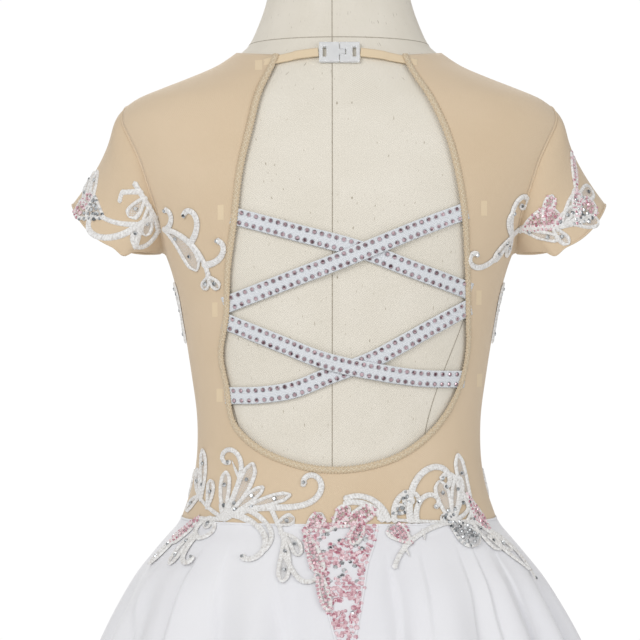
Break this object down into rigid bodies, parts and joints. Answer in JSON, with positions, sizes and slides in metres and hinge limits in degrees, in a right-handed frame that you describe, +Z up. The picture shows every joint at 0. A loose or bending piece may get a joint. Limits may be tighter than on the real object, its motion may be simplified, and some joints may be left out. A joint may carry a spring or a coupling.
{
  "type": "lyrical dance dress on a dress form",
  "caption": "Long white dance dress with an open strapped back, cap sleeves and corded lace, on a limbless dress form with a round stand.",
  "frame": {"origin": "middle of the stand base's underside, on the floor", "axes": "+Z up along the pole; the dress's back faces +Y, its front -Y and the wearer's left is +X"},
  "size_m": [0.7337, 0.664, 1.4684],
  "materials": {
    "mesh": "skin-coloured stretch mesh, matt with a soft sheen",
    "binding": "skin-coloured picot elastic",
    "chiffon": "white chiffon, soft and matt",
    "lace": "white corded lace with set stones",
    "strap": "white elastic covered with two rows of pink stones in silver settings",
    "insert": "white net closely set with pink stones",
    "clasp": "clear moulded plastic",
    "canvas": "natural canvas, matt",
    "metal": "satin steel"
  },
  "bodies": {
    "root": {"back_panel": "mesh", "front_panel": "mesh", "sleeve_left": "mesh", "sleeve_right": "mesh", "keyhole_binding": "binding", "neck_strap_left": "binding", "neck_strap_right": "binding", "clasp_left": "clasp", "clasp_right": "clasp", "back_strap_upper_a": "strap", "back_strap_upper_b": "strap", "back_strap_lower_a": "strap", "back_strap_lower_b": "strap", "waist_point": "insert", "skirt_back": "chiffon", "skirt_front": "chiffon", "lace_waist_back_left": "lace", "lace_waist_back_right": "lace", "lace_waist_front_left": "lace", "lace_waist_front_right": "lace", "lace_shoulder_left": "lace", "lace_shoulder_right": "lace", "lace_sleeve_left": "lace", "lace_sleeve_right": "lace", "lace_side_left": "lace", "lace_side_right": "lace", "form_torso": "canvas", "neck_cap": "canvas", "stand_pole": "metal", "stand_flange": "metal", "stand_base": "metal"}
  },
  "joints": []
}
